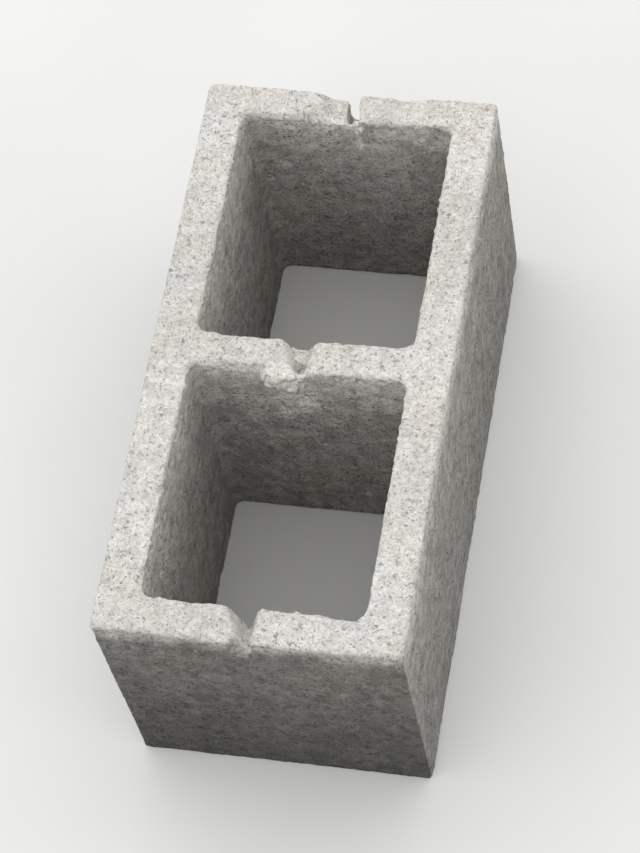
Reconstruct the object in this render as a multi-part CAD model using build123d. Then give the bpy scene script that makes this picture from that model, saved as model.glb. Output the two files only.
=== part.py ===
from build123d import *
import os
from math import radians, sqrt, tan

# Hollow concrete block with two open cells, standing on its bed as it was cast.
# All sizes are in millimetres. X runs across the block, Y along it and Z up.

WIDTH = 190.0
LENGTH = 390.0
HEIGHT = 190.0
OUTER_CORNER = 3.0

# Walls at the top, where the tapered cells leave them thinnest
SIDE_WALL = 27.0
FAR_WALL = 22.0
NEAR_WALL = 25.0
WEB = 24.0

# Each cell is the print of a core that was drawn upwards out of the block
CELL_TAPER = 0.5  # degrees from upright
CELL_CORNER = 6.0

# Rounding of every edge of the top face
ARRIS = 1.5

# A flat bar ran over the length of the mould and left a notch in each cross wall. A notch
# is given by its width below the flared lip and at its floor, its depth, and the place of
# its middle across the block. These change from one face of the wall to the other.

# Far end wall: the bar's slot still stands open, and only a thin choke of slumped concrete
# closes it at the inner face, up to this depth below the top
SLOT_WIDTH = 7.5
SLOT_LIP = 1.0
SLOT_DEPTH = 32.0
SLOT_OUTER_PLACE = 0.8
SLOT_INNER_PLACE = 3.0
CHOKE_THICKNESS = 4.5
CHOKE_DEPTH = 9.5

# The shoulder on the -X side of the slot has sunk, and slopes up to the level top
SHOULDER_LENGTH = 25.0
SHOULDER_SLOPE = 12.0
SHOULDER_ROUND = 6.0
SHOULDER_OUTER_DEPTH = 10.0
SHOULDER_INNER_DEPTH = 7.0

# Web: the slot has slumped into a wide shallow gap
GAP_FAR_PLACE = -3.5
GAP_FAR_WIDTH = 22.0
GAP_FAR_FLOOR = 8.0
GAP_FAR_DEPTH = 16.0
GAP_NEAR_PLACE = 0.5
GAP_NEAR_WIDTH = 9.0
GAP_NEAR_FLOOR = 4.0
GAP_NEAR_DEPTH = 7.0

# Near end wall: the slot has closed towards the outer face and left a vee inside
VEE_FLOOR = 2.0
VEE_INNER_PLACE = -5.5
VEE_INNER_WIDTH = 20.0
VEE_INNER_DEPTH = 32.0
VEE_OUTER_PLACE = -0.5
VEE_OUTER_WIDTH = 7.0
VEE_OUTER_DEPTH = 4.0

# The crumbled lip of a notch: how far it flares outwards, and the roundings below the flare
# and at the floor, which takes up this share of the floor's width on each side
LIP = 4.0
LIP_ROUND = 2.0
FLOOR_ROUND_SHARE = 0.4

# Hollows crumbled out of the top edges: the place across the block, the length along the edge,
# and the depth on the slant between the two faces
FAR_OUTER_CHIPS = ((-42.0, 10.0, 2.0), (21.0, 22.0, 3.4), (33.0, 14.0, 5.9))
WEB_FAR_CHIP = (-21.5, 16.0, 2.5)
NEAR_INNER_CHIP = (55.0, 22.0, 5.9)
NEAR_OUTER_CHIP = (-0.5, 14.0, 2.5)

# A cutter runs this far past the face that it breaks through
OVERRUN = 2.0

cell_width = WIDTH - 2 * SIDE_WALL
cell_lean = HEIGHT * tan(radians(CELL_TAPER))

end_face = LENGTH / 2
far_inner_face = end_face - FAR_WALL
near_inner_face = -end_face + NEAR_WALL
web_face = WEB / 2


def cell(start_y, end_y):
    """Core of the cell between two faces: a rounded rectangle that narrows evenly to the bed."""
    length = end_y - start_y
    centre_y = (start_y + end_y) / 2
    mouth = RectangleRounded(cell_width, length, CELL_CORNER)
    foot = RectangleRounded(cell_width - 2 * cell_lean, length - 2 * cell_lean, CELL_CORNER)
    return loft([Pos(0, centre_y, 0) * foot, Pos(0, centre_y, HEIGHT) * mouth], ruled=True)


def cross_plane(place, y):
    """Upright plane across the block, with its origin on the top face."""
    return Plane(origin=(place, y, HEIGHT), x_dir=(1, 0, 0), z_dir=(0, -1, 0))


def notch_section(y, place, width, floor, depth, lip=LIP):
    """Upright section of a notch: a flared lip on each side and a rounded floor."""
    half_width = width / 2
    half_floor = floor / 2
    points = [
        (-half_width - lip, OVERRUN),
        (-half_width, -LIP / 2),
        (-half_floor, -depth),
        (half_floor, -depth),
        (half_width, -LIP / 2),
        (half_width + lip, OVERRUN),
    ]
    floor_round = FLOOR_ROUND_SHARE * floor
    outline = FilletPolyline(*points, radius=[LIP_ROUND, floor_round, floor_round, LIP_ROUND])
    return cross_plane(place, y) * make_face(outline + Line(points[-1], points[0]))


def shoulder_section(y, place, depth):
    """Upright section of the sunken shoulder, from the slot's middle to the level top."""
    slope_end = SHOULDER_LENGTH - SHOULDER_SLOPE
    slope_top = SHOULDER_LENGTH + SHOULDER_SLOPE * OVERRUN / depth
    points = [(-slope_top, OVERRUN), (-slope_end, -depth), (0, -depth)]
    outline = FilletPolyline(*points, radius=SHOULDER_ROUND)
    corner = (0, OVERRUN)
    return cross_plane(place, y) * make_face(outline + Polyline(points[-1], corner, points[0]))


def chip(hollow, face_y, outwards):
    """Ball that scoops a crumbled hollow out of the top edge of a face across the block."""
    x, length, depth = hollow
    ball = (length**2 / 4 + depth**2) / (2 * depth)
    stand_off = (ball - depth) / sqrt(2)
    return Pos(x, face_y + outwards * stand_off, HEIGHT + stand_off) * Sphere(ball)


def far_slot():
    """Deep slot in the far end wall with its choke left standing, and the sunken shoulder."""
    inner_y = far_inner_face - OVERRUN
    outer_y = end_face + OVERRUN
    inner = notch_section(inner_y, SLOT_INNER_PLACE, SLOT_WIDTH, SLOT_WIDTH, SLOT_DEPTH, SLOT_LIP)
    outer = notch_section(outer_y, SLOT_OUTER_PLACE, SLOT_WIDTH, SLOT_WIDTH, SLOT_DEPTH, SLOT_LIP)
    choke_height = HEIGHT - CHOKE_DEPTH
    choke = Pos(0, far_inner_face, choke_height / 2) * Box(WIDTH, 2 * CHOKE_THICKNESS, choke_height)
    inner_shoulder = shoulder_section(inner_y, SLOT_INNER_PLACE, SHOULDER_INNER_DEPTH)
    outer_shoulder = shoulder_section(outer_y, SLOT_OUTER_PLACE, SHOULDER_OUTER_DEPTH)
    return [loft([inner, outer]) - choke, loft([inner_shoulder, outer_shoulder])]


def web_gap():
    """Shallow gap in the web, wider and deeper at its far face."""
    near_y = -web_face - OVERRUN
    far_y = web_face + OVERRUN
    near = notch_section(near_y, GAP_NEAR_PLACE, GAP_NEAR_WIDTH, GAP_NEAR_FLOOR, GAP_NEAR_DEPTH)
    far = notch_section(far_y, GAP_FAR_PLACE, GAP_FAR_WIDTH, GAP_FAR_FLOOR, GAP_FAR_DEPTH)
    return loft([near, far])


def near_vee():
    """Vee in the near end wall, almost closed at the outer face."""
    outer_y = -end_face - OVERRUN
    inner_y = near_inner_face + OVERRUN
    outer = notch_section(outer_y, VEE_OUTER_PLACE, VEE_OUTER_WIDTH, VEE_FLOOR, VEE_OUTER_DEPTH)
    inner = notch_section(inner_y, VEE_INNER_PLACE, VEE_INNER_WIDTH, VEE_FLOOR, VEE_INNER_DEPTH)
    return loft([outer, inner])


def chips():
    """Every crumbled hollow in the top edges of the three cross walls."""
    far = [chip(hollow, end_face, 1) for hollow in FAR_OUTER_CHIPS]
    web = chip(WEB_FAR_CHIP, web_face, 1)
    near_inner = chip(NEAR_INNER_CHIP, near_inner_face, 1)
    near_outer = chip(NEAR_OUTER_CHIP, -end_face, -1)
    return [*far, web, near_inner, near_outer]


def concrete_block():
    """The cast body: the cells, the rounded top edges, the notches, and then the chips."""
    block = extrude(RectangleRounded(WIDTH, LENGTH, OUTER_CORNER), amount=HEIGHT)
    block -= [cell(near_inner_face, -web_face), cell(web_face, far_inner_face)]
    top_face = block.faces().sort_by(Axis.Z)[-1]
    block = fillet(top_face.edges(), ARRIS)
    return block - far_slot() - web_gap() - near_vee() - chips()


os.makedirs("parts", exist_ok=True)
block = concrete_block()
block.label = "concrete_block"
export_step(block, "parts/concrete_block.step")
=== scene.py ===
from math import radians
from typing import NamedTuple

import bmesh
import bpy
import numpy as np
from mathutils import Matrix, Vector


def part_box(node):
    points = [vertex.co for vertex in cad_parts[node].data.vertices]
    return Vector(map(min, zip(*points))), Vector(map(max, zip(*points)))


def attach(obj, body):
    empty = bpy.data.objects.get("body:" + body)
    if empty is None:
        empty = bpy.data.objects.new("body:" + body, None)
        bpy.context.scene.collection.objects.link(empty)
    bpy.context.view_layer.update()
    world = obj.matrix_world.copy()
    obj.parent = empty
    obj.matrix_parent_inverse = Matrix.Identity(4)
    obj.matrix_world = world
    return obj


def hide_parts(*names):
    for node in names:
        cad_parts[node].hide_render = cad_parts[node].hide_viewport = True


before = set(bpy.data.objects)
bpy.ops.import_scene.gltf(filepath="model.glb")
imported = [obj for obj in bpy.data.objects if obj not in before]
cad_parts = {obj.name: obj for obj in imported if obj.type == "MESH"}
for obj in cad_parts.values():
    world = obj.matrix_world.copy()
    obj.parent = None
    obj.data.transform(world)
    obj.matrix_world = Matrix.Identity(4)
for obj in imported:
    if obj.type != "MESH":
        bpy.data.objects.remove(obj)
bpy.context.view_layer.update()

import openvdb
from mathutils import Matrix, Vector

# Every length is in metres and every angle in degrees, unless its name says otherwise.
NODE = "concrete_block"
SEED = 41

# Walls of the block at its top, as in the CAD model
SIDE_WALL = 0.027
FAR_WALL = 0.022
NEAR_WALL = 0.025
WEB = 0.024

low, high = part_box(NODE)
WIDTH, LENGTH, HEIGHT = high - low
CELL_HALF_WIDTH = WIDTH / 2 - SIDE_WALL
FAR_FACE = LENGTH / 2
FAR_INNER = FAR_FACE - FAR_WALL
NEAR_FACE = -LENGTH / 2
NEAR_INNER = NEAR_FACE + NEAR_WALL

# The surface is worked on as a grid of distances to it, negative inside: its step, the
# largest distance that it holds, and how many points it has beyond the block's box
VOXEL = 0.001
BAND = 0.010
MARGIN = 3
TRIANGLES = 190000

# The top is kept fine to this depth, and the faces below it are merged first
FINE_DEPTH = 0.010

# Relief of the cast surface: the size of its bumps and their height. The bumps are cut into
# a skin that lies this far outside the CAD surface.
GRAINS = ((0.0030, 0.00055), (0.0065, 0.00050), (0.0160, 0.00040), (0.0500, 0.00040))
DRAG_CELL = (0.0030, 0.0030, 0.0400)
DRAG_HEIGHT = 0.00025
SKIN = 0.00055

# Wear of convex edges, in small chips and in larger flakes: reach, size of the patches, and
# the share of solid around a point that the surface is cut back to, least and most
CHIPS = (0.0022, 0.0034, 0.22, 0.50)
FLAKES = (0.0045, 0.0120, 0.08, 0.46)

# A flat face has solid in half of the space around it, so wear stays below this share
FLAT_SHARE = 0.49

# Edges further than this below the top are worn less, by this factor
LOW_EDGES = 0.020
LOW_WEAR = 0.65

# The tops of the cross walls dip unevenly, most of all midway between the side walls
DIP_CELL = (0.0150, 0.0110, 1.0)
DIP_DEPTH = 0.0030
DIP_EASE = 0.030

# Bites out of the top edges, and nibs that stand out of those around the cells. Both come at
# uneven steps, from the least to the most of their spacing. A nib's drop below the top and
# its way into the wall are shares of its radius.
STEP_SPREAD = (0.4, 1.6)
BITE_SPACING = 0.0060
BITE_RADIUS = (0.0018, 0.0052)
BITE_DEPTH = (0.0002, 0.0022)
NIB_SPACING = 0.0075
NIB_RADIUS = (0.0010, 0.0021)
NIB_DROP = (0.5, 4.0)
NIB_INSET = 0.2
CRUMBLE_CELL = 0.0026
CRUMBLE_NOISE = 0.0022
CRUMB_NOISE = 0.0018

# How deeply the top edges are bitten. Across the block: the face, the way out of the wall, and
# the depth left and right of the notch. Along it: the side, and the depth of both its edges.
CROSS_EDGES = (
    (FAR_FACE, 1, 1.0, 1.0),
    (FAR_INNER, -1, 1.7, 0.8),
    (WEB / 2, 1, 1.1, 0.9),
    (-WEB / 2, -1, 1.2, 0.7),
    (NEAR_INNER, 1, 0.9, 0.8),
    (NEAR_FACE, -1, 1.0, 0.8),
)
SIDE_EDGES = ((-1, 0.60, 0.95), (1, 0.55, 0.45))


class Sag(NamedTuple):
    """A stretch across the block over which a top edge has sunk to a rough slope."""

    face_y: float
    start: float
    end: float
    size: float  # share of the slopes below


SAGS = (
    Sag(-WEB / 2, -0.048, -0.018, 1.0),
    Sag(FAR_INNER, -0.062, -0.032, 0.7),
)

# A sunken edge falls gently and then steeply: how far each of the two slopes reaches back over
# the top and down the face, how steeply they run out at their ends, and their noise
SAG_SLOPES = ((0.0078, 0.0040), (0.0048, 0.0068))
SAG_SPAN = (-0.003, 0.012)
SAG_ENDS = 0.45
SAG_CELL = 0.0055
SAG_NOISE = 0.0022

# Sand and small stones that break up every convex edge: reach, size, height, the level of the
# noise that changes nothing, the share of solid around a point below which it counts as an
# edge, and how far below that it counts in full
EDGE_REACH = 0.0020
EDGE_GRAIN = 0.0023
EDGE_HEIGHT = 0.0017
EDGE_LEVEL = 0.35
EDGE_SHARE = 0.47
EDGE_EASE = 0.12

# The far wall keeps its edges beside the open slot: how far that reaches, from what nearness
# on there are no bites, and how much of the wear is left
SLOT_PLACE = 0.0019
SLOT_HALF_WIDTH = 0.0045
SLOT_CLEAR = 0.0090
SLOT_NO_BITES = 0.4
SLOT_WEAR = 0.45


class Trail(NamedTuple):
    """Crumbs that slumped out of a notch and down a face of its wall."""

    head: float  # place of its middle across the block at the top
    foot: float  # and at the bottom
    face_y: float
    outwards: int
    top: float  # below the top of the block
    length: float
    wide: float  # half width at the head of the trail
    narrow: float  # and at its foot
    radii: tuple
    stand_out: float  # how far the crumbs' middles lie outside the face, at the trail's middle
    gather: float  # 1 spreads the crumbs evenly down the trail, and more gathers them at its head
    count: int  # with none, the trail only makes the face paler


TRAILS = (
    Trail(0.0055, 0.0055, FAR_INNER, -1, 0.009, 0.030, 0.0035, 0.0020, (0.0011, 0.0024), -0.0005, 1.5, 36),
    Trail(-0.013, -0.013, FAR_INNER, -1, 0.007, 0.007, 0.0110, 0.0090, (0.0011, 0.0024), -0.0005, 1.5, 36),
    Trail(-0.013, -0.0085, -WEB / 2, -1, 0.007, 0.010, 0.0090, 0.0060, (0.0044, 0.0058), 0.0006, 1.0, 60),
    Trail(-0.013, -0.0085, -WEB / 2, -1, 0.005, 0.020, 0.0115, 0.0065, (0.0013, 0.0032), 0.0036, 1.0, 200),
    Trail(0.0005, -0.0025, -WEB / 2, -1, 0.007, 0.020, 0.0035, 0.0030, (0.0011, 0.0028), 0.0006, 1.0, 40),
    Trail(-0.004, -0.0040, -WEB / 2, -1, 0.014, 0.045, 0.0130, 0.0160, (0.0011, 0.0022), -0.0005, 1.3, 44),
    # The last trail has no crumbs: it is a painted highlight down the near face along its seam
    Trail(0.0005, -0.0055, NEAR_FACE, -1, 0.000, 0.026, 0.0032, 0.0026, (0.0010, 0.0016), -0.0005, 1.0, 0),
)

# Single crumbs in the far slot, and holes: in the floor of the web's gap, beside the closed seam
# of the near wall, and at the tip of its vee. Each is a place across and along the block, a depth
# below the top, and a radius.
LOOSE_CRUMBS = ((0.0045, FAR_INNER + 0.0012, 0.0080, 0.0031), (0.0062, FAR_INNER + 0.0006, 0.0150, 0.0022))
HOLES = (
    (-0.0015, -0.0028, 0.0112, 0.0036),
    (-0.0008, -0.0064, 0.0106, 0.0031),
    (0.0056, NEAR_FACE + 0.0004, 0.0065, 0.0019),
    (-0.0086, NEAR_FACE + 0.0012, 0.0134, 0.0028),
    (-0.0044, NEAR_FACE + 0.0010, 0.0190, 0.0020),
    (-0.0048, NEAR_INNER - 0.0015, 0.0325, 0.0030),
    (-0.0052, NEAR_INNER + 0.0010, 0.0355, 0.0029),
)

# The near wall's closed seam runs out down its outer face, beside a deeper crack: the two ends,
# each as places across and along the block and a depth below the top, and the radius
SEAMS = (
    ((0.0005, NEAR_FACE + 0.0062, 0.0020), (-0.0036, NEAR_FACE - 0.0022, 0.0220), 0.0030),
    ((-0.0060, NEAR_FACE + 0.0018, 0.0010), (-0.0085, NEAR_FACE + 0.0006, 0.0115), 0.0020),
)
SEAM_STEPS = 16

# The share of its radius that a crumb has at the head of its trail, and what it loses by the
# foot. Crumbs stand out of the face along part of a half wave: where the wave starts, and how
# much of it the trail takes.
CRUMB_SIZE = 1.1
CRUMB_SHRINK = 0.3
BULGE_START = 0.15
BULGE_SPAN = 0.75

# Crumbs are painted paler than the face, partly for their own paler concrete and partly as painted light on
# their shaded sides, as far in and out as this from it, from above the trail's head to past its foot, as
# shares of its length, and how steeply that fades out
CRUMB_REACH = 0.006
PALE_START = -0.5
PALE_END = 1.1
PALE_SLOPE = 2.5

# Dry pale crumb shows inside a notch down to this depth, and fades out over the next length
PALE_DEPTH = 0.022
PALE_FADE = 0.007
SLOT_PALE_DEPTH = 0.003
NOTCH_INSET = 0.0015

# The holes carry painted shade, darker than the surface around them, and it fades out over this length
HOLE_FADE = 0.0012

# Pits: how many, and their radii
PITS = 2600
PIT_RADIUS = (0.0009, 0.0026)

# The cells' walls are marked for the material, this far past their faces
CELL_MARGIN = 0.002

FLOOR_HALF_WIDTH = 6.0

# The photographer's place, and the way the camera pointed there
STATION = Vector((0.362, -0.854, 1.772))
CAMERA_PITCH = 31.3
CAMERA_ROLL = -1.56
CAMERA_YAW = 0.88
LENS_MM = 126.0
SENSOR_MM = 36.0

rng = np.random.default_rng(SEED)


def level_set(node):
    """Distances to a CAD node's surface on a grid, and the grid's first index."""
    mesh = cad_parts[node].data
    mesh.calc_loop_triangles()
    points = np.empty(len(mesh.vertices) * 3, np.float32)
    mesh.vertices.foreach_get("co", points)
    triangles = np.empty(len(mesh.loop_triangles) * 3, np.int32)
    mesh.loop_triangles.foreach_get("vertices", triangles)
    transform = openvdb.createLinearTransform(VOXEL)
    grid = openvdb.FloatGrid.createLevelSetFromPolygons(
        points.reshape(-1, 3),
        triangles=triangles.reshape(-1, 3).astype(np.uint32),
        transform=transform,
        halfWidth=BAND / VOXEL,
    )
    first = np.floor(np.array(low) / VOXEL).astype(int) - MARGIN
    last = np.ceil(np.array(high) / VOXEL).astype(int) + MARGIN
    field = np.empty(last - first + 1, np.float32)
    grid.copyToArray(field, ijk=tuple(int(i) for i in first))
    return field, first


def axis_points(field, first, axis):
    """Positions of the grid's points along one axis."""
    return (first[axis] + np.arange(field.shape[axis])) * VOXEL


def smooth_noise(field, first, cell):
    """Noise from 0 to 1 on the grid, whose bumps are about one cell across."""
    sizes = np.broadcast_to(cell, 3)
    weights = []
    counts = []
    for axis in range(3):
        place = (axis_points(field, first, axis) - first[axis] * VOXEL) / sizes[axis]
        base = place.astype(int)
        part = place - base
        ease = part * part * (3 - 2 * part)
        matrix = np.zeros((len(place), base.max() + 2), np.float32)
        matrix[np.arange(len(place)), base] = 1 - ease
        matrix[np.arange(len(place)), base + 1] = ease
        weights.append(matrix)
        counts.append(matrix.shape[1])
    lattice = rng.random(counts, dtype=np.float32)
    for axis in range(3):
        lattice = np.moveaxis(np.tensordot(weights[axis], lattice, axes=(1, axis)), 0, axis)
    return lattice


def box_blur(field, reach):
    """Mean of the field over a cube that reaches so many points each way."""
    for axis in range(3):
        padded = np.pad(field, [(reach + 1, reach) if a == axis else (0, 0) for a in range(3)], mode="edge")
        total = np.cumsum(padded, axis=axis, dtype=np.float32)
        size = 2 * reach + 1
        upper = np.take(total, np.arange(size, total.shape[axis]), axis=axis)
        lower = np.take(total, np.arange(0, total.shape[axis] - size), axis=axis)
        field = (upper - lower) / size
    return field


def ball_window(field, first, centre, radius):
    """The part of the grid around a ball, and the distances there to its surface."""
    reach = int(np.ceil(radius / VOXEL)) + 2
    middle = np.round(np.array(centre) / VOXEL).astype(int) - first
    start = np.maximum(middle - reach, 0)
    stop = np.minimum(middle + reach + 1, field.shape)
    if (start >= stop).any():
        return None, None
    window = tuple(slice(a, b) for a, b in zip(start, stop))
    squares = [
        ((first[axis] + np.arange(start[axis], stop[axis])) * VOXEL - centre[axis]) ** 2
        for axis in range(3)
    ]
    distance = np.sqrt(squares[0][:, None, None] + squares[1][None, :, None] + squares[2][None, None, :])
    return window, distance - radius


def take_away(field, first, centre, radius):
    """Takes a ball away from the solid."""
    window, ball = ball_window(field, first, centre, radius)
    if window is not None:
        field[window] = np.maximum(field[window], -ball)


def join(field, first, centre, radius):
    """Adds a ball to the solid."""
    window, ball = ball_window(field, first, centre, radius)
    if window is not None:
        field[window] = np.minimum(field[window], ball)


def surface_points(node, count):
    """Random points spread evenly over a CAD node's surface."""
    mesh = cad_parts[node].data
    corners = np.array([v.co for v in mesh.vertices])
    triangles = np.array([t.vertices for t in mesh.loop_triangles])
    a, b, c = (corners[triangles[:, k]] for k in range(3))
    areas = np.linalg.norm(np.cross(b - a, c - a), axis=1)
    chosen = rng.choice(len(areas), count, p=areas / areas.sum())
    u, v = rng.random((2, count, 1))
    flip = u + v > 1
    u, v = np.where(flip, 1 - u, u), np.where(flip, 1 - v, v)
    return a[chosen] + u * (b - a)[chosen] + v * (c - a)[chosen]


def top_edges():
    """Every straight edge of the top: its ends, the way out, its bites, and if it is a cell's."""
    edges = []
    for face_y, outwards, left, right in CROSS_EDGES:
        of_cell = face_y not in (NEAR_FACE, FAR_FACE)
        half = CELL_HALF_WIDTH if of_cell else WIDTH / 2
        edges.append(((-half, face_y), (0, face_y), (0, outwards), left, of_cell))
        edges.append(((0, face_y), (half, face_y), (0, outwards), right, of_cell))
    for side, outer_bites, inner_bites in SIDE_EDGES:
        outer, inner = side * WIDTH / 2, side * CELL_HALF_WIDTH
        edges.append(((outer, NEAR_FACE), (outer, FAR_FACE), (side, 0), outer_bites, False))
        for start, end in ((NEAR_INNER, -WEB / 2), (WEB / 2, FAR_INNER)):
            edges.append(((inner, start), (inner, end), (-side, 0), inner_bites, True))
    return edges


def stepped(start, end, spacing):
    """Places along a line at uneven steps."""
    start, end = np.array(start), np.array(end)
    length = np.linalg.norm(end - start)
    place = spacing * rng.random()
    while place < length:
        yield start + (end - start) * place / length
        place += spacing * rng.uniform(*STEP_SPREAD)


def beside_slot(x, y):
    """How near places are to the open slot in the far wall, from 0 to 1."""
    return np.exp(-(((x - SLOT_PLACE) / SLOT_CLEAR) ** 2)) * (y > FAR_INNER - SLOT_CLEAR)


def uneven_tops(field, first):
    """Height of the top over every place of the grid: the cross walls dip unevenly."""
    x = axis_points(field, first, 0)
    middle = np.clip((CELL_HALF_WIDTH - np.abs(x)) / DIP_EASE, 0, 1)
    dips = smooth_noise(field[:, :, :1], first, DIP_CELL)[:, :, 0]
    return (HEIGHT - DIP_DEPTH * middle[:, None] * dips).astype(np.float32)


def bitten(field, first, tops):
    """The solid with bites and holes taken out of it, and with nibs along its inner edges."""
    bites = np.full(field.shape, BAND, np.float32)
    nibs = np.full(field.shape, BAND, np.float32)

    def top_at(place):
        index = np.round(np.array(place) / VOXEL).astype(int) - first[:2]
        return tops[tuple(np.clip(index, 0, np.array(tops.shape) - 1))]

    for start, end, outwards, share, of_cell in top_edges():
        outwards = np.array(outwards)
        for place in stepped(start, end, BITE_SPACING):
            radius = rng.uniform(*BITE_RADIUS)
            stand_off = (radius - share * rng.uniform(*BITE_DEPTH)) / np.sqrt(2)
            if beside_slot(*place) < SLOT_NO_BITES:
                join(bites, first, (*(place + outwards * stand_off), top_at(place) + stand_off), radius)
        if not of_cell:
            continue
        for place in stepped(start, end, NIB_SPACING):
            radius = rng.uniform(*NIB_RADIUS)
            drop = rng.uniform(*NIB_DROP) * radius
            join(nibs, first, (*(place - outwards * NIB_INSET * radius), top_at(place) - drop), radius)
    for x, y, depth, radius in HOLES:
        join(bites, first, (x, y, HEIGHT - depth), radius)
    for head, foot, radius in SEAMS:
        for x, y, depth in np.linspace(head, foot, SEAM_STEPS):
            join(bites, first, (x, y, HEIGHT - depth), radius)
    noise = CRUMBLE_NOISE * (smooth_noise(field, first, CRUMBLE_CELL) - 0.5)
    return np.minimum(np.maximum(field, -bites - noise), nibs + noise)


def beyond(sag, x):
    """How far places lie beyond the ends of a sunken stretch."""
    return np.maximum(0, np.maximum(sag.start - x, x - sag.end))


def sagged(field, first):
    """The solid with the rough slopes where its top edges have sunk."""
    x, y, z = (axis_points(field, first, axis) for axis in range(3))
    noise = SAG_NOISE * (smooth_noise(field, first, SAG_CELL) - 0.5)
    for sag in SAGS:
        inwards = y - sag.face_y
        rows = (inwards > SAG_SPAN[0]) & (inwards < SAG_SPAN[1])
        for back, down in SAG_SLOPES:
            out = sag.size * back - inwards[rows]
            slope = (down * out[:, None] + back * (z - HEIGHT)[None, :]) / np.hypot(back, down)
            slope = slope[None, :, :] - SAG_ENDS * beyond(sag, x)[:, None, None]
            field[:, rows] = np.maximum(field[:, rows], slope + noise[:, rows])
    return field


def mostly_small(radii, power):
    """A random radius between two, of which the small ones are the more common."""
    smallest, largest = radii
    return smallest + (largest - smallest) * rng.random() ** power


def crumbed(field, first):
    """The solid with the crumbs that slumped out of its notches."""
    crumbs = np.full(field.shape, BAND, np.float32)
    for trail in TRAILS:
        for _ in range(trail.count):
            down = rng.random() ** trail.gather
            half_width = trail.wide + (trail.narrow - trail.wide) * down
            x = trail.head + (trail.foot - trail.head) * down + half_width * rng.triangular(-1, 0, 1)
            radius = mostly_small(trail.radii, 2) * (CRUMB_SIZE - CRUMB_SHRINK * down)
            bulge = np.sin(np.pi * (BULGE_START + BULGE_SPAN * down))
            y = trail.face_y + trail.outwards * trail.stand_out * bulge
            join(crumbs, first, (x, y, HEIGHT - trail.top - trail.length * down), radius)
    for x, y, depth, radius in LOOSE_CRUMBS:
        join(crumbs, first, (x, y, HEIGHT - depth), radius)
    noise = CRUMB_NOISE * (smooth_noise(field, first, CRUMBLE_CELL) - 0.5)
    return np.minimum(field, crumbs + noise)


def solid_share(field, reach):
    """Share of solid around every point of the grid, and how far around it is counted."""
    steps = max(1, round(reach / VOXEL))
    solid = np.clip(0.5 - field / (2 * VOXEL), 0, 1)
    return box_blur(box_blur(solid, steps), steps), (2 * steps + 1) * VOXEL


def worn(field, first, wear):
    """The solid with its convex edges cut back, in some patches more than in others."""
    reach, cell, least, most = wear
    share, span = solid_share(field, reach)
    limit = np.minimum(least + (most - least) * smooth_noise(field, first, cell), FLAT_SHARE)
    x, y = axis_points(field, first, 0), axis_points(field, first, 1)
    limit *= 1 - (1 - SLOT_WEAR) * beside_slot(x[:, None], y[None, :])[:, :, None]
    limit *= np.where(axis_points(field, first, 2) < HEIGHT - LOW_EDGES, LOW_WEAR, 1.0)
    return np.maximum(field, (span * (limit - share)).astype(np.float32))


def grainy_edges(field, first):
    """The solid with its convex edges broken up by sand and small stones."""
    share, _ = solid_share(field, EDGE_REACH)
    at_edge = np.clip((EDGE_SHARE - share) / EDGE_EASE, 0, 1)
    return field + EDGE_HEIGHT * at_edge * (smooth_noise(field, first, EDGE_GRAIN) - EDGE_LEVEL)


def boxed(field, first):
    """The solid cut back to the CAD node's box."""
    for axis in range(3):
        place = axis_points(field, first, axis)
        shape = [-1 if a == axis else 1 for a in range(3)]
        outside = np.maximum(low[axis] - place, place - high[axis]).astype(np.float32)
        field = np.maximum(field, outside.reshape(shape))
    return field


def weathered(field, first):
    """The cast surface: uneven tops, bitten and worn edges, crumbs, grain and pits."""
    tops = uneven_tops(field, first)
    z = axis_points(field, first, 2).astype(np.float32)
    field = bitten(np.maximum(field, z - tops[:, :, None]), first, tops)
    for wear in (FLAKES, CHIPS):
        field = worn(field, first, wear)
    field = crumbed(grainy_edges(sagged(field, first), first), first) - SKIN
    for cell, height in GRAINS:
        field += height * smooth_noise(field, first, cell)
    field += DRAG_HEIGHT * smooth_noise(field, first, DRAG_CELL)
    for centre in surface_points(NODE, PITS):
        take_away(field, first, centre, mostly_small(PIT_RADIUS, 3))
    return boxed(field, first)


def field_mesh(field, first, name):
    """A closed mesh of the surface where the field is zero."""
    grid = openvdb.FloatGrid(BAND)
    grid.transform = openvdb.createLinearTransform(VOXEL)
    grid.copyFromArray(np.clip(field, -BAND, BAND), ijk=tuple(int(i) for i in first))
    points, triangles, quads = grid.convertToPolygons(isovalue=0.0, adaptivity=0.0)
    mesh = bpy.data.meshes.new(name)
    mesh.vertices.add(len(points))
    mesh.vertices.foreach_set("co", points.astype(np.float32).ravel())
    corners = np.concatenate([triangles.ravel(), quads.ravel()]).astype(np.int32)
    totals = np.concatenate([np.full(len(triangles), 3), np.full(len(quads), 4)]).astype(np.int32)
    starts = np.concatenate([[0], np.cumsum(totals)[:-1]]).astype(np.int32)
    mesh.loops.add(len(corners))
    mesh.loops.foreach_set("vertex_index", corners)
    mesh.polygons.add(len(totals))
    mesh.polygons.foreach_set("loop_start", starts)
    mesh.polygons.foreach_set("loop_total", totals)
    mesh.update(calc_edges=True)
    return mesh


def positions(mesh):
    """The places of a mesh's points, one row each."""
    flat = np.empty(len(mesh.vertices) * 3, np.float32)
    mesh.vertices.foreach_get("co", flat)
    return flat.reshape(-1, 3)


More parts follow.
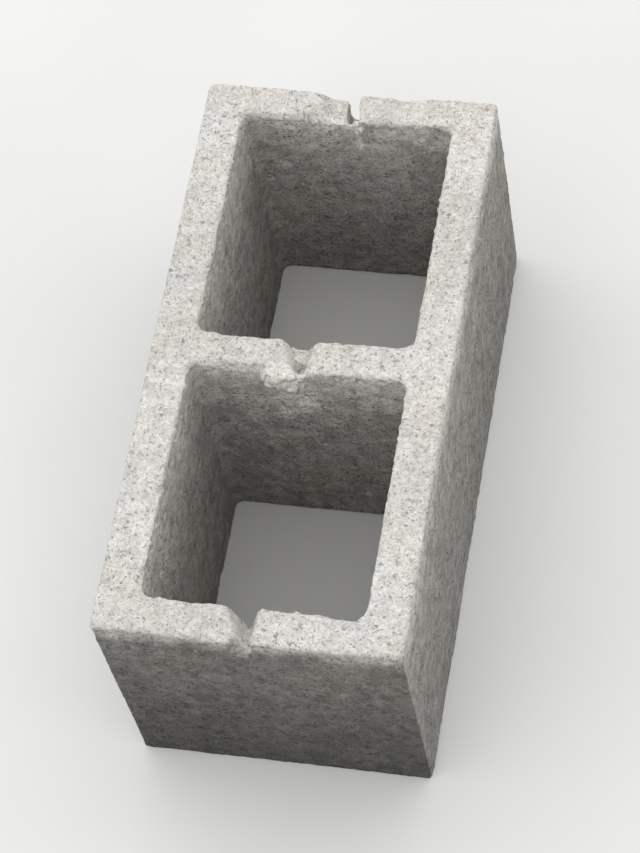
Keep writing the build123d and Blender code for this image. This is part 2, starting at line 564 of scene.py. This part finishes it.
def thinned(piece):
    """Merges the mesh's faces down to the wanted number, those below the top first."""
    mesh = piece.data
    group = piece.vertex_groups.new(name="thin_first")
    group.add(np.flatnonzero(positions(mesh)[:, 2] < HEIGHT - FINE_DEPTH).tolist(), 1.0, "REPLACE")
    faces = sum(len(p.vertices) - 2 for p in mesh.polygons)
    thin = piece.modifiers.new("thin", "DECIMATE")
    thin.ratio = min(1.0, TRIANGLES / faces)
    thin.vertex_group = group.name
    thin.vertex_group_factor = 1.0
    depsgraph = bpy.context.evaluated_depsgraph_get()
    done = bpy.data.meshes.new_from_object(piece.evaluated_get(depsgraph))
    piece.modifiers.clear()
    piece.vertex_groups.clear()
    piece.data = done
    bpy.data.meshes.remove(mesh)
    done.name = piece.name
    inside = np.clip(positions(done), low, high).astype(np.float32)
    done.vertices.foreach_set("co", inside.ravel())


def drop_crumbs(mesh):
    """Deletes whatever hangs loose from the block, and the closed bubbles inside it."""
    edges = np.empty(len(mesh.edges) * 2, np.int64)
    mesh.edges.foreach_get("vertices", edges)
    edges = edges.reshape(-1, 2)
    part = np.arange(len(mesh.vertices))
    while True:
        lowest = part.copy()
        ends = part[edges]
        np.minimum.at(lowest, edges.ravel(), np.repeat(ends.min(axis=1), 2))
        lowest = lowest[lowest]
        if (lowest == part).all():
            break
        part = lowest
    kept = np.argmax(np.bincount(part))
    shape = bmesh.new()
    shape.from_mesh(mesh)
    shape.verts.ensure_lookup_table()
    loose = [shape.verts[i] for i in np.flatnonzero(part != kept)]
    bmesh.ops.delete(shape, geom=loose, context="VERTS")
    shape.to_mesh(mesh)
    shape.free()


def sampled(field, first, points):
    """The field's value at each point, between the grid's points."""
    place = points / VOXEL - first
    base = np.clip(np.floor(place).astype(int), 0, np.array(field.shape) - 2)
    part = place - base
    total = np.zeros(len(points), np.float32)
    for corner in np.ndindex(2, 2, 2):
        index = base + corner
        weight = np.prod(np.where(corner, part, 1 - part), axis=1)
        total += weight * field[index[:, 0], index[:, 1], index[:, 2]]
    return total


def crumb_share(points):
    """How far each point lies in a trail of crumbs, from 0 to 1."""
    share = np.zeros(len(points))
    for trail in TRAILS:
        down = (HEIGHT - trail.top - points[:, 2]) / trail.length
        half_width = trail.wide + (trail.narrow - trail.wide) * np.clip(down, 0, 1)
        middle = trail.head + (trail.foot - trail.head) * np.clip(down, 0, 1)
        across = np.exp(-(((points[:, 0] - middle) / half_width) ** 4))
        on_face = np.abs(points[:, 1] - trail.face_y) < CRUMB_REACH
        along = np.clip(PALE_SLOPE * (PALE_END - down), 0, 1) * (down > PALE_START)
        share = np.maximum(share, along * across * on_face)
    return share


def dry_share(points):
    """How pale each point inside a notch or on a sunken edge is, from 0 to 1."""
    x, y, z = points.T
    walls = ((NEAR_FACE, NEAR_INNER), (-WEB / 2, WEB / 2), (FAR_INNER, FAR_FACE))
    inset = np.max([np.minimum(y - start, end - y) for start, end in walls], axis=0)
    inside = np.clip(inset / NOTCH_INSET - 0.5, 0, 1) * (np.abs(x) < CELL_HALF_WIDTH)
    in_slot = (np.abs(x - SLOT_PLACE) < SLOT_HALF_WIDTH) & (y > FAR_INNER)
    reach = np.where(in_slot, SLOT_PALE_DEPTH, PALE_DEPTH)
    share = inside * np.clip((reach - (HEIGHT - z)) / PALE_FADE + 1, 0, 1)
    for sag in SAGS:
        (far_back, _), (_, far_down) = SAG_SLOPES
        left = sag.size * far_down - (HEIGHT - z) - beyond(sag, x)
        on_slope = np.abs(y - sag.face_y) < sag.size * far_back
        share = np.maximum(share, on_slope * np.clip(left / NOTCH_INSET + 0.5, 0, 1))
    return share


def hole_share(points):
    """How far each point lies in one of the holes, from 0 to 1."""
    share = np.zeros(len(points))
    for x, y, depth, radius in HOLES:
        distance = np.linalg.norm(points - (x, y, HEIGHT - depth), axis=1)
        share = np.maximum(share, np.clip((radius - distance) / HOLE_FADE + 1, 0, 1))
    return share


def mark_surface(mesh, smooth, first):
    """Stores the depth below the smooth surface, in millimetres, and where crumb and cells are."""
    points = positions(mesh)
    x, y, _ = points.T
    between_ends = (y > NEAR_INNER - CELL_MARGIN) & (y < FAR_INNER + CELL_MARGIN)
    in_cell = (np.abs(x) < CELL_HALF_WIDTH + CELL_MARGIN) & between_ends
    marks = {
        "pit_depth": -1000 * sampled(smooth, first, points),
        "crumbs": crumb_share(points),
        "dry": dry_share(points),
        "hole": hole_share(points),
        "in_cell": in_cell,
    }
    for name, values in marks.items():
        attribute = mesh.attributes.new(name, "FLOAT", "POINT")
        attribute.data.foreach_set("value", values.astype(np.float32))


class Nodes:
    """Short forms for building the node tree of a material or a world."""

    def __init__(self, owner):
        owner.use_nodes = True
        self.tree = owner.node_tree
        self.tree.nodes.clear()

    def feed(self, socket, value):
        """Links a socket to an output, or sets its own value."""
        if isinstance(value, bpy.types.NodeSocket):
            self.tree.links.new(value, socket)
        else:
            socket.default_value = value

    def add(self, kind, inputs=(), **settings):
        node = self.tree.nodes.new(kind)
        for key, value in settings.items():
            setattr(node, key, value)
        for key, value in dict(inputs).items():
            self.feed(node.inputs[key], value)
        return node

    def noise(self, vector, scale, detail=2.0, rough=0.5):
        inputs = {"Vector": vector, "Scale": scale, "Detail": detail, "Roughness": rough}
        return self.add("ShaderNodeTexNoise", inputs).outputs["Fac"]

    def ramp(self, value, low_in, high_in, low_out=0.0, high_out=1.0):
        node = self.add(
            "ShaderNodeMapRange",
            {"Value": value, "From Min": low_in, "From Max": high_in, "To Min": low_out, "To Max": high_out},
            interpolation_type="SMOOTHSTEP",
        )
        return node.outputs["Result"]

    def chance(self, vector, scale):
        """A random number for each cell of an even scatter, and the distance to its middle."""
        cell = self.add("ShaderNodeTexVoronoi", {"Vector": vector, "Scale": scale})
        colour = self.add("ShaderNodeSeparateColor", {0: cell.outputs["Color"]})
        return colour.outputs[0], cell.outputs["Distance"]

    def spots(self, vector, scale, share, reach):
        """Small round spots in some of the cells of an even scatter."""
        chance, distance = self.chance(vector, scale)
        chosen = self.ramp(chance, 1 - share, 1.01 - share)
        inside = self.ramp(distance, 0.6 * reach, reach, 1.0, 0.0)
        return self.math("MULTIPLY", chosen, inside)

    def math(self, operation, a, b=0.0, **settings):
        return self.add("ShaderNodeMath", {0: a, 1: b}, operation=operation, **settings).outputs[0]

    def mix(self, factor, a, b, blend="MIX"):
        node = self.add("ShaderNodeMix", data_type="RGBA", blend_type=blend)
        for index, value in ((0, factor), (6, a), (7, b)):
            self.feed(node.inputs[index], value)
        return node.outputs[2]


def srgb(red, green, blue):
    """A colour as it looks in a picture, from 0 to 255, for a shader."""
    values = np.array([red, green, blue]) / 255
    linear = np.where(values <= 0.04045, values / 12.92, ((values + 0.055) / 1.055) ** 2.4)
    return (*linear.tolist(), 1.0)


TOP_COLOURS = srgb(224, 220, 213), srgb(221, 219, 215)
# Painted highlight along the tops of the walls
RIM_HIGHLIGHT_COLOURS = srgb(236, 232, 225), srgb(232, 230, 226)
SIDE_COLOURS = srgb(188, 185, 178), srgb(182, 181, 177)
# Painted light on the upper cell walls
UPPER_CELL_LIGHT_COLOURS = srgb(209, 205, 198), srgb(203, 201, 196)
GRAIN_COLOUR = srgb(218, 214, 207)
# Pale crumbs: partly their own paler concrete, partly painted light
CRUMB_AND_LIGHT_COLOUR = srgb(236, 232, 226)
# Painted shade in deep pits and holes
PIT_SHADE_COLOUR = srgb(108, 106, 102)

# Bands of colour, as the depths below the top where each has gone and where it is full: painted light on the
# upper cell walls, a painted highlight along the rim, and the dry top
UPPER_CELL_LIGHT_BAND = (0.068, 0.026)
RIM_HIGHLIGHT_BAND = (0.026, 0.007)
DRY_BAND = (0.030, 0.015)

# The painted highlight along the rim reaches this much less far down on the near end. Inside the cells it
# grows fainter to the right, from the next length left of the middle to as far right of it.
FRONT_HIGHLIGHT_LESS = 0.006
FAINT_HIGHLIGHT_EASE = 0.020


def concrete_material():
    """Dry-cast concrete: a pale dry top, greyer sides, and a sandy surface full of small pores. Light and
    shade are painted in too: a highlight along the rim and on the upper cell walls, and shade on the near
    end and in holes, pits, pores and hollows.
    """
    material = bpy.data.materials.new("concrete")
    n = Nodes(material)
    place = n.add("ShaderNodeTexCoord").outputs["Object"]
    stretched = n.add("ShaderNodeMapping", {"Vector": place, "Scale": (1.0, 1.0, 0.16)}).outputs[0]
    normal = n.add("ShaderNodeNewGeometry").outputs["Normal"]
    across, along, up = n.add("ShaderNodeSeparateXYZ", {0: normal}).outputs
    place_x, _, height = n.add("ShaderNodeSeparateXYZ", {0: place}).outputs
    depth, crumbs, pale, hole, in_cell = (
        n.add("ShaderNodeAttribute", attribute_name=name).outputs["Fac"]
        for name in ("pit_depth", "crumbs", "dry", "hole", "in_cell")
    )

    # Where each finish and each band of painted light lies, and its colour
    patches = n.noise(place, 45.0, 3.0)
    uneven = n.math("ADD", height, n.ramp(patches, 0.3, 0.7, -0.018, 0.018))
    outside = n.math("SUBTRACT", 1.0, in_cell)
    # Upper cell walls are painted paler: painted light, fading down the cells
    upper_cell_light = n.math("MULTIPLY", in_cell, n.ramp(uneven, HEIGHT - UPPER_CELL_LIGHT_BAND[0], HEIGHT - UPPER_CELL_LIGHT_BAND[1]))
    front = n.math("MULTIPLY", outside, n.ramp(along, -0.8, -0.4, 1.0, 0.0))
    # Painted highlight along the tops of the walls: less far down on the near end, and fainter inside the
    # cells on the right and on walls facing sideways
    rim_highlight = n.math("ADD", height, n.ramp(patches, 0.3, 0.7, -0.004, 0.004))
    rim_highlight = n.math("SUBTRACT", rim_highlight, n.math("MULTIPLY", front, FRONT_HIGHLIGHT_LESS))
    rim_highlight = n.ramp(rim_highlight, HEIGHT - RIM_HIGHLIGHT_BAND[0], HEIGHT - RIM_HIGHLIGHT_BAND[1], 0.0, 0.90)
    sideways = n.math("ABSOLUTE", across)
    on_right = n.ramp(place_x, -FAINT_HIGHLIGHT_EASE, FAINT_HIGHLIGHT_EASE)
    less_highlight = n.math("MAXIMUM", on_right, n.ramp(sideways, 0.4, 0.8))
    less_highlight = n.math("MULTIPLY", in_cell, n.math("MULTIPLY", less_highlight, 0.75))
    rim_highlight = n.math("MULTIPLY", rim_highlight, n.math("SUBTRACT", 1.0, less_highlight))
    tint = n.ramp(n.noise(place, 28.0, 3.0), 0.35, 0.65)
    side = n.mix(upper_cell_light, n.mix(tint, *SIDE_COLOURS), n.mix(tint, *UPPER_CELL_LIGHT_COLOURS))
    side = n.mix(rim_highlight, side, n.mix(tint, *RIM_HIGHLIGHT_COLOURS))
    near_top = n.ramp(height, HEIGHT - DRY_BAND[0], HEIGHT - DRY_BAND[1])
    dry = n.math("MULTIPLY", n.ramp(up, 0.10, 0.60), near_top)
    # Holes lose the dry top's colour: painted shade in them
    outside_hole_shade = n.math("SUBTRACT", 1.0, n.math("MULTIPLY", hole, 0.6))
    dry = n.math("MULTIPLY", n.math("MAXIMUM", dry, pale), outside_hole_shade)
    body = n.mix(dry, side, n.mix(tint, *TOP_COLOURS))
    # Crumbs are painted paler: partly their own paler concrete, partly painted light on their shaded sides,
    # and a painted highlight where the trail has no crumbs
    pale_crumbs_and_light = n.math("MULTIPLY", crumbs, n.ramp(n.noise(place, 260.0, 3.0), 0.28, 0.48))
    wall = n.math("SUBTRACT", 1.0, dry)
    wander = n.add("ShaderNodeTexNoise", {"Vector": place, "Scale": 420.0, "Detail": 1.0}).outputs["Color"]
    shift = n.add("ShaderNodeVectorMath", {0: wander, 1: (0.0018, 0.0018, 0.0018)}, operation="MULTIPLY")
    loose = n.add("ShaderNodeVectorMath", {0: place, 1: shift.outputs[0]}, operation="ADD").outputs[0]
    large_grains = n.spots(loose, 215.0, 0.10, 0.34)
    small_grains = n.math("MULTIPLY", n.spots(loose, 370.0, 0.16, 0.42), 0.8)
    grains = n.math("MAXIMUM", large_grains, small_grains)
    specks = n.math("MULTIPLY", wall, n.math("MULTIPLY", grains, 0.62))
    body = n.mix(specks, body, GRAIN_COLOUR)
    body = n.mix(pale_crumbs_and_light, body, CRUMB_AND_LIGHT_COLOUR)

    # Light and dark within the finishes, from large blotches to sand and pores, with painted shade in the
    # bump's hollows, in pores and on the near end
    blotches = n.ramp(n.noise(place, 14.0, 4.0), 0.3, 0.7, 0.93, 1.06)
    # The coarse noise also raises the bump, so its mottle is partly random tone and partly painted shade in
    # the bump's broad hollows
    coarse_noise = n.noise(place, 130.0, 4.0, 0.6)
    coarse = n.ramp(coarse_noise, 0.25, 0.75, -1.0, 1.0)
    streaks = n.ramp(n.noise(stretched, 110.0, 3.0), 0.3, 0.7, -0.03, 0.03)
    fleck_noise = n.noise(place, 60.0, 3.0, 0.6)
    flecks = n.ramp(fleck_noise, 0.3, 0.7, -0.10, 0.10)
    wall_shade = n.math("ADD", n.math("MULTIPLY", coarse, 0.25), n.math("ADD", streaks, flecks))
    mottle = n.math("ADD", 1.0, n.math("MULTIPLY", wall, wall_shade))
    top_mottle = n.math("ADD", 1.0, n.math("MULTIPLY", dry, n.math("MULTIPLY", coarse, 0.11)))
    # Sand darkens where its bump is low: a random tone per grain, and painted shade in the hollows between
    # grains
    sand_noise = n.noise(place, 520.0, 4.0, 0.7)
    sand_and_hollow_shade = n.ramp(sand_noise, 0.25, 0.75, 0.87, 1.10)
    sand_and_hollow_shade = n.math("MULTIPLY", sand_and_hollow_shade, n.ramp(n.chance(loose, 640.0)[0], 0.0, 1.0, 0.90, 1.09))
    # Pores sink in the bump, and their darkening is painted shade in them
    large_pores = n.spots(loose, 250.0, 0.15, 0.33)
    small_pores = n.math("MULTIPLY", n.spots(loose, 480.0, 0.20, 0.40), 0.8)
    round_pores = n.math("MULTIPLY", wall, n.math("MAXIMUM", large_pores, small_pores))
    coarse_pores = n.ramp(n.noise(place, 300.0, 3.0, 0.6), 0.60, 0.72)
    fine_pores = n.ramp(n.noise(place, 780.0, 2.0, 0.5), 0.62, 0.74)
    pores = n.math("MAXIMUM", round_pores, n.math("MAXIMUM", coarse_pores, fine_pores))
    pore_shade_strength = n.ramp(patches, 0.35, 0.65, 0.24, 0.50)
    pore_shade = n.math("SUBTRACT", 1.0, n.math("MULTIPLY", pores, pore_shade_strength))
    # Outer faces below the rim grow darker towards the bottom, and the near end carries painted shade
    low_darkening_and_front_shade = n.ramp(height, 0.0, HEIGHT, -0.26, 0.10)
    low_darkening_and_front_shade = n.math("SUBTRACT", low_darkening_and_front_shade, n.math("MULTIPLY", front, 0.46))
    below_highlight = n.math("MULTIPLY", wall, n.math("SUBTRACT", 1.0, rim_highlight))
    low_darkening_and_front_shade = n.math("ADD", 1.0, n.math("MULTIPLY", n.math("MULTIPLY", outside, below_highlight), low_darkening_and_front_shade))
    shade = blotches
    for part in (mottle, top_mottle, sand_and_hollow_shade, pore_shade, low_darkening_and_front_shade):
        shade = n.math("MULTIPLY", shade, part)
    grey = n.add("ShaderNodeCombineXYZ", {0: shade, 1: shade, 2: shade}).outputs[0]
    shaded = n.mix(1.0, body, grey, "MULTIPLY")
    # Painted shade in deep pits, and in holes
    pit_shade = n.math("MULTIPLY", n.math("MULTIPLY", n.ramp(depth, 1.6, 3.4), 0.6), wall)
    colour = n.mix(n.math("MAXIMUM", pit_shade, n.math("MULTIPLY", hole, 0.4)), shaded, PIT_SHADE_COLOUR)

    # Roughness and bump
    rough = n.ramp(sand_noise, 0.3, 0.7, 0.84, 0.97)
    relief = n.math("SUBTRACT", sand_noise, n.math("MULTIPLY", pores, 0.8))
    relief = n.math("ADD", relief, n.math("MULTIPLY", grains, 0.35))
    relief = n.math("ADD", relief, n.math("MULTIPLY", coarse_noise, 0.9))
    bump = n.add("ShaderNodeBump", {"Height": relief, "Strength": 0.85, "Distance": 0.0014})
    surface = {
        "Base Color": colour,
        "Roughness": rough,
        "Specular IOR Level": 0.2,
        "Normal": bump.outputs["Normal"],
    }
    shader = n.add("ShaderNodeBsdfPrincipled", surface)
    n.add("ShaderNodeOutputMaterial", {"Surface": shader.outputs[0]})
    return material


def build_block():
    """The block as it looks, in place of the plain CAD solid."""
    smooth, first = level_set(NODE)
    field = weathered(smooth, first)
    piece = bpy.data.objects.new("cast_block", field_mesh(field, first, "cast_block"))
    bpy.context.scene.collection.objects.link(piece)
    thinned(piece)
    drop_crumbs(piece.data)
    mark_surface(piece.data, smooth, first)
    piece.data.shade_smooth()
    piece.data.materials.clear()
    piece.data.materials.append(concrete_material())
    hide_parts(NODE)
    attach(piece, "root")
    return piece


FLOOR_SEEN = srgb(236, 236, 234), srgb(231, 231, 230)
FLOOR_BOUNCE = srgb(140, 138, 135)


def floor_material():
    """Pale floor for the eye, and a darker one for the light that it throws back."""
    material = bpy.data.materials.new("floor")
    n = Nodes(material)
    path = n.add("ShaderNodeLightPath").outputs
    mirrored = n.math("MAXIMUM", path["Is Glossy Ray"], path["Is Transmission Ray"])
    seen = n.math("MAXIMUM", path["Is Camera Ray"], mirrored)
    place = n.add("ShaderNodeTexCoord").outputs["Object"]
    pale = n.mix(n.ramp(n.noise(place, 3.0), 0.3, 0.7), *FLOOR_SEEN)
    rough = n.ramp(n.noise(place, 40.0), 0.3, 0.7, 0.85, 0.95)
    colour = n.mix(seen, FLOOR_BOUNCE, pale)
    shader = n.add("ShaderNodeBsdfPrincipled", {"Base Color": colour, "Roughness": rough})
    n.add("ShaderNodeOutputMaterial", {"Surface": shader.outputs[0]})
    return material


def add_floor():
    """A wide floor at the level that the block stands on."""
    half = FLOOR_HALF_WIDTH
    mesh = bpy.data.meshes.new("floor")
    corners = [(-half, -half, 0), (half, -half, 0), (half, half, 0), (-half, half, 0)]
    mesh.from_pydata(corners, [], [(0, 1, 2, 3)])
    mesh.materials.append(floor_material())
    floor = bpy.data.objects.new("floor", mesh)
    bpy.context.scene.collection.objects.link(floor)


# Soft light from all round, and how much it grows towards +X, +Y and straight up
SKY_EVEN = 1.00
SKY_TOWARDS = (-0.16, 0.28, 0.58)


def add_lights():
    """A plain soft sky, brightest overhead and behind the block, in front of a white backdrop."""
    world = bpy.data.worlds.new("world")
    bpy.context.scene.world = world
    n = Nodes(world)
    way = n.add("ShaderNodeTexCoord").outputs["Generated"]
    towards = n.add("ShaderNodeVectorMath", {0: way, 1: SKY_TOWARDS}, operation="DOT_PRODUCT")
    level = n.math("ADD", towards.outputs["Value"], SKY_EVEN)
    sky = n.add("ShaderNodeBackground", {"Strength": level}).outputs[0]
    backdrop = n.add("ShaderNodeBackground", {"Color": (1, 1, 1, 1)}).outputs[0]
    path = n.add("ShaderNodeLightPath").outputs
    mirrored = n.math("ADD", path["Is Glossy Ray"], path["Is Transmission Ray"])
    seen = n.math("ADD", path["Is Camera Ray"], mirrored, use_clamp=True)
    both = n.add("ShaderNodeMixShader", {0: seen, 1: sky, 2: backdrop}).outputs[0]
    n.add("ShaderNodeOutputWorld", {"Surface": both})


def add_camera():
    """Camera at the photographer's place, swung from the picture's middle to the block."""
    tilt = Matrix.Rotation(radians(90 - CAMERA_PITCH), 3, "X")
    turn = Matrix.Rotation(radians(CAMERA_YAW), 3, "Z")
    roll = Matrix.Rotation(radians(-CAMERA_ROLL), 3, "Z")
    held = turn @ tilt @ roll
    ahead = held @ Vector((0, 0, -1))
    aim = (Vector((0, 0, HEIGHT / 2)) - STATION).normalized()
    swung = ahead.rotation_difference(aim).to_matrix() @ held
    lens = bpy.data.cameras.new("camera")
    lens.lens = LENS_MM
    lens.sensor_fit = "VERTICAL"
    lens.sensor_height = SENSOR_MM
    camera = bpy.data.objects.new("camera", lens)
    camera.matrix_world = Matrix.Translation(STATION) @ swung.to_4x4()
    bpy.context.scene.collection.objects.link(camera)
    bpy.context.scene.camera = camera


add_camera()
add_lights()
add_floor()
build_block()
bpy.context.scene.view_settings.view_transform = "Standard"
